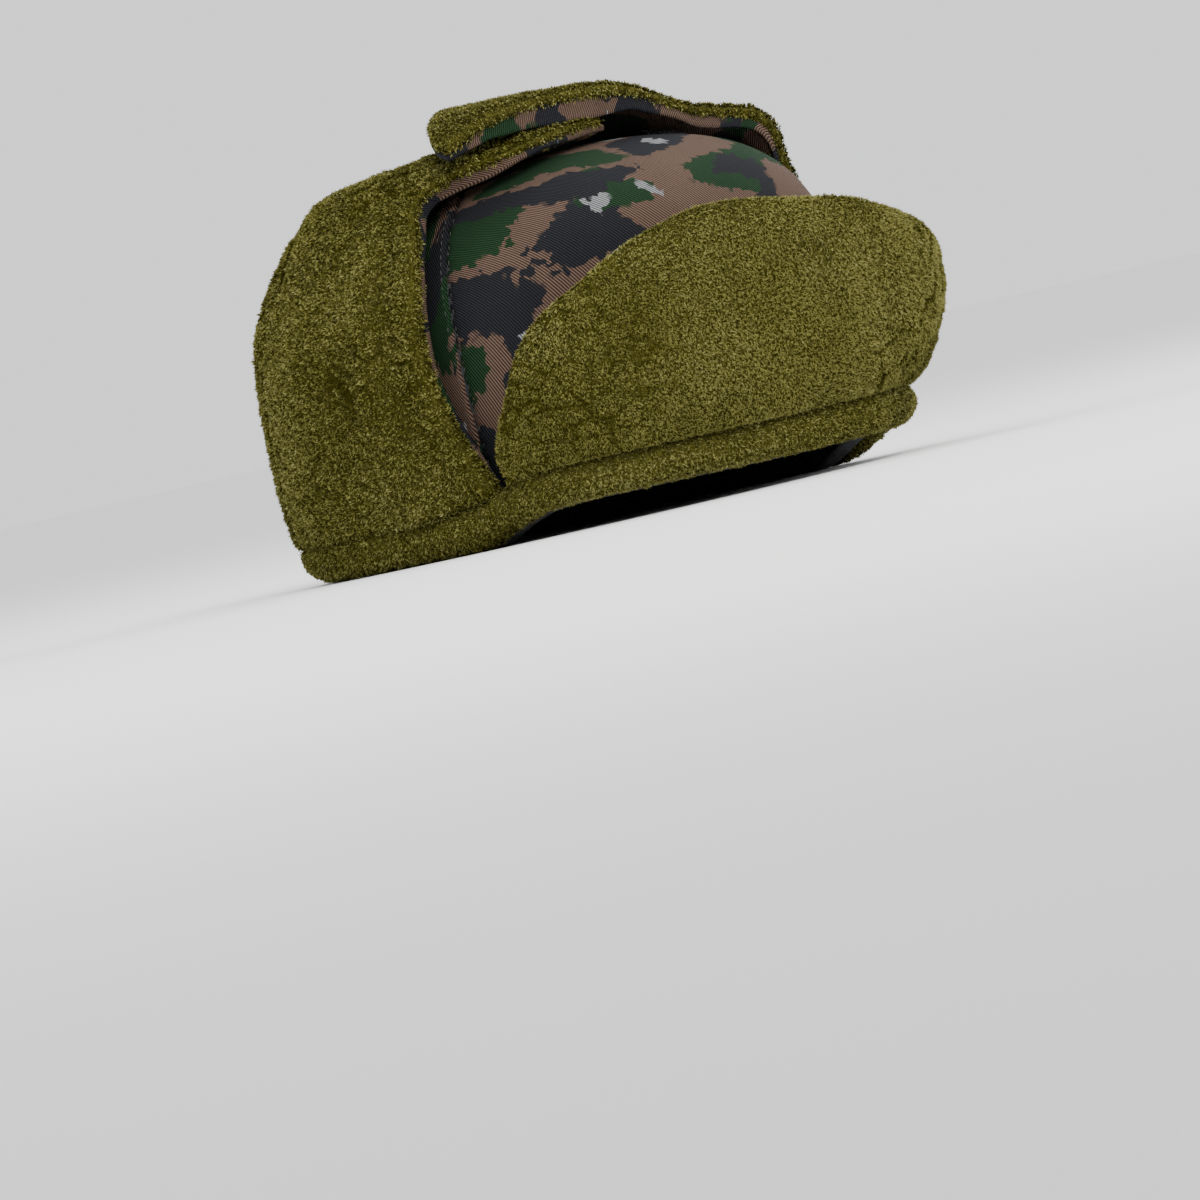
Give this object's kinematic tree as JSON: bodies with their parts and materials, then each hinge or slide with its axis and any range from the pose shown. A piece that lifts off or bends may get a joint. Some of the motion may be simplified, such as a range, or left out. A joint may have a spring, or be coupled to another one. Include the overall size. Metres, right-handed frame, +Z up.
{
  "type": "trapper hat with folded flaps",
  "caption": "Winter hat with a camouflage twill crown and olive pile flaps folded up: front flap, crossed ear flaps and neck flap over a rolled pile rim.",
  "frame": {"origin": "under the middle of the hat's own box, on the surface that it rests on", "axes": "+Z up through the crown, -Y the way the wearer faces, +X the wearer's left"},
  "size_m": [0.209, 0.2652, 0.1596],
  "materials": {
    "camouflage_twill": "matte",
    "lining_twill": "matte",
    "olive_pile": "matte"
  },
  "bodies": {
    "root": {"crown_centre_panel": "camouflage_twill", "crown_left_panel": "camouflage_twill", "crown_right_panel": "camouflage_twill", "lining": "lining_twill", "front_rim_band": "olive_pile", "rear_rim_band": "olive_pile", "front_flap_pile": "olive_pile", "right_ear_flap_pile": "olive_pile", "left_ear_flap_pile": "olive_pile", "neck_flap_pile": "olive_pile", "front_flap_backing": "camouflage_twill", "right_ear_flap_backing": "camouflage_twill", "left_ear_flap_backing": "camouflage_twill", "neck_flap_backing": "camouflage_twill"}
  },
  "joints": []
}
